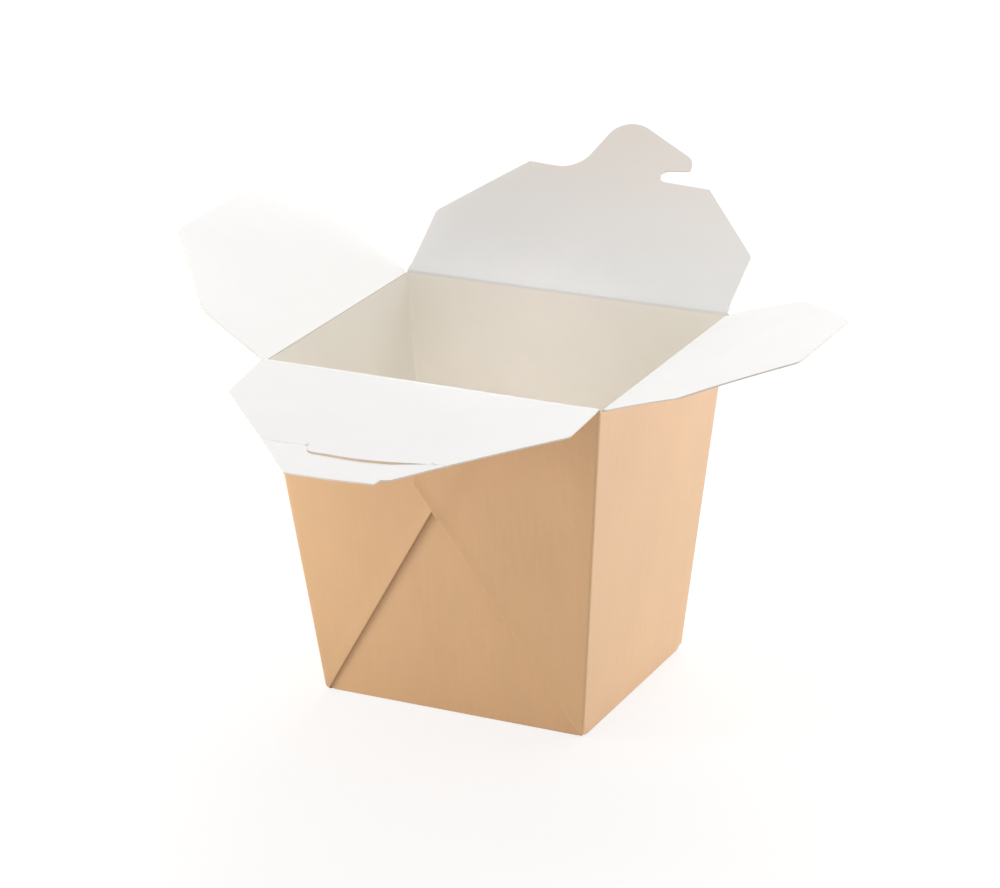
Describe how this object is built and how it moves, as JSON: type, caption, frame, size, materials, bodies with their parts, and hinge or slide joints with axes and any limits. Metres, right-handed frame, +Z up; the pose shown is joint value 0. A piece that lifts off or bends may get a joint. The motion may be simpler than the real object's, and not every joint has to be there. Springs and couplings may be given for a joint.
{
  "type": "takeaway box",
  "caption": "Tapered folded-board food box with glued corner webs and flaps on its rim, one with a hooked tab and one with a slit for it.",
  "frame": {"origin": "centre of the base, on the surface that the box stands on", "axes": "+Z up, -Y towards the front panel whose flap has the slit, +X to the right of the front panel"},
  "size_m": [0.1922, 0.2002, 0.1395],
  "materials": {
    "kraft_board": "matt kraft outside, smooth white inside"
  },
  "bodies": {
    "carton": {"carton": "kraft_board"},
    "left_flap": {"left_flap": "kraft_board"},
    "right_flap": {"right_flap": "kraft_board"},
    "front_flap": {"front_flap": "kraft_board"},
    "back_flap": {"back_flap": "kraft_board"}
  },
  "joints": [
    {"name": "left_crease", "type": "hinge", "parent": "carton", "child": "left_flap", "pos_m": [-0.05267, 0, 0.10307], "axis": [0, 1, 0], "range_deg": [-123, 147]},
    {"name": "right_crease", "type": "hinge", "parent": "carton", "child": "right_flap", "pos_m": [0.05267, 0, 0.10307], "axis": [0, -1, 0], "range_deg": [-105, 165]},
    {"name": "front_crease", "type": "hinge", "parent": "carton", "child": "front_flap", "pos_m": [0, -0.04534, 0.10368], "axis": [-1, 0, 0], "range_deg": [-83, 185]},
    {"name": "back_crease", "type": "hinge", "parent": "carton", "child": "back_flap", "pos_m": [0, 0.04539, 0.10428], "axis": [1, 0, 0], "range_deg": [-123, 142]}
  ]
}
